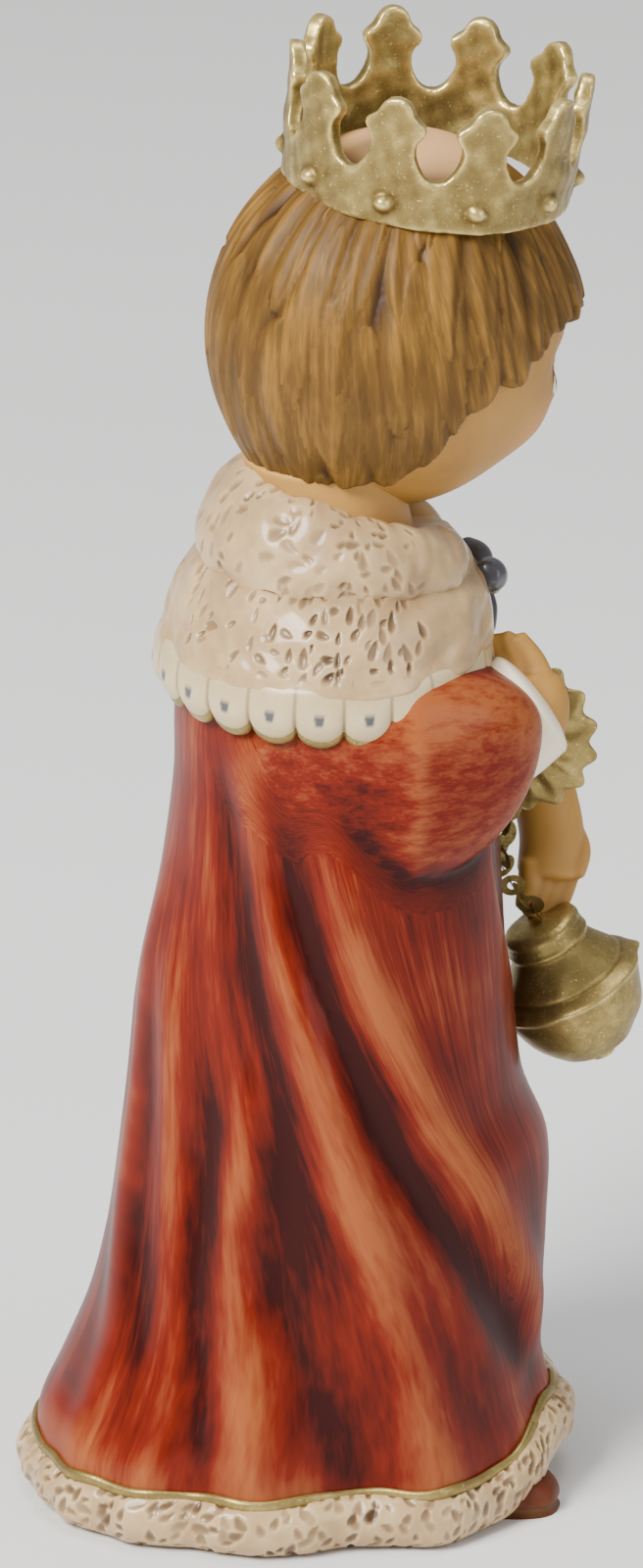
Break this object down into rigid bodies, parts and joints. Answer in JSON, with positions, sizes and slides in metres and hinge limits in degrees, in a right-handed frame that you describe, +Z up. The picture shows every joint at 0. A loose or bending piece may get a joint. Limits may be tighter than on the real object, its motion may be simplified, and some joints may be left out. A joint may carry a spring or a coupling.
{
  "type": "wise man nativity figurine",
  "caption": "Standing child wise man in a trefoil-point crown and a long fur-trimmed coat with a train, with a scalloped dish and a small censer, cast in one piece.",
  "frame": {"origin": "under the middle of the figurine's box, on the surface that it stands on", "axes": "+Z up; the figure faces -Y and its right hand is at -X"},
  "size_m": [0.0537, 0.0692, 0.1577],
  "materials": {
    "coat_glaze": "rust red glaze, brushed, thin and orange-tan on the ridges of the folds",
    "fur_glaze": "cream glaze over carved dimples with a brown wash in them",
    "skin_bisque": "matte warm skin tone",
    "hair_bisque": "matte golden brown with darker strokes in the grooves",
    "gold_paint": "satin gold paint on porcelain",
    "white_glaze": "white glaze",
    "bow_glaze": "grey glaze",
    "boot_glaze": "matte dark brown"
  },
  "bodies": {
    "root": {"wise_man_figurine": "coat_glaze"}
  },
  "joints": []
}
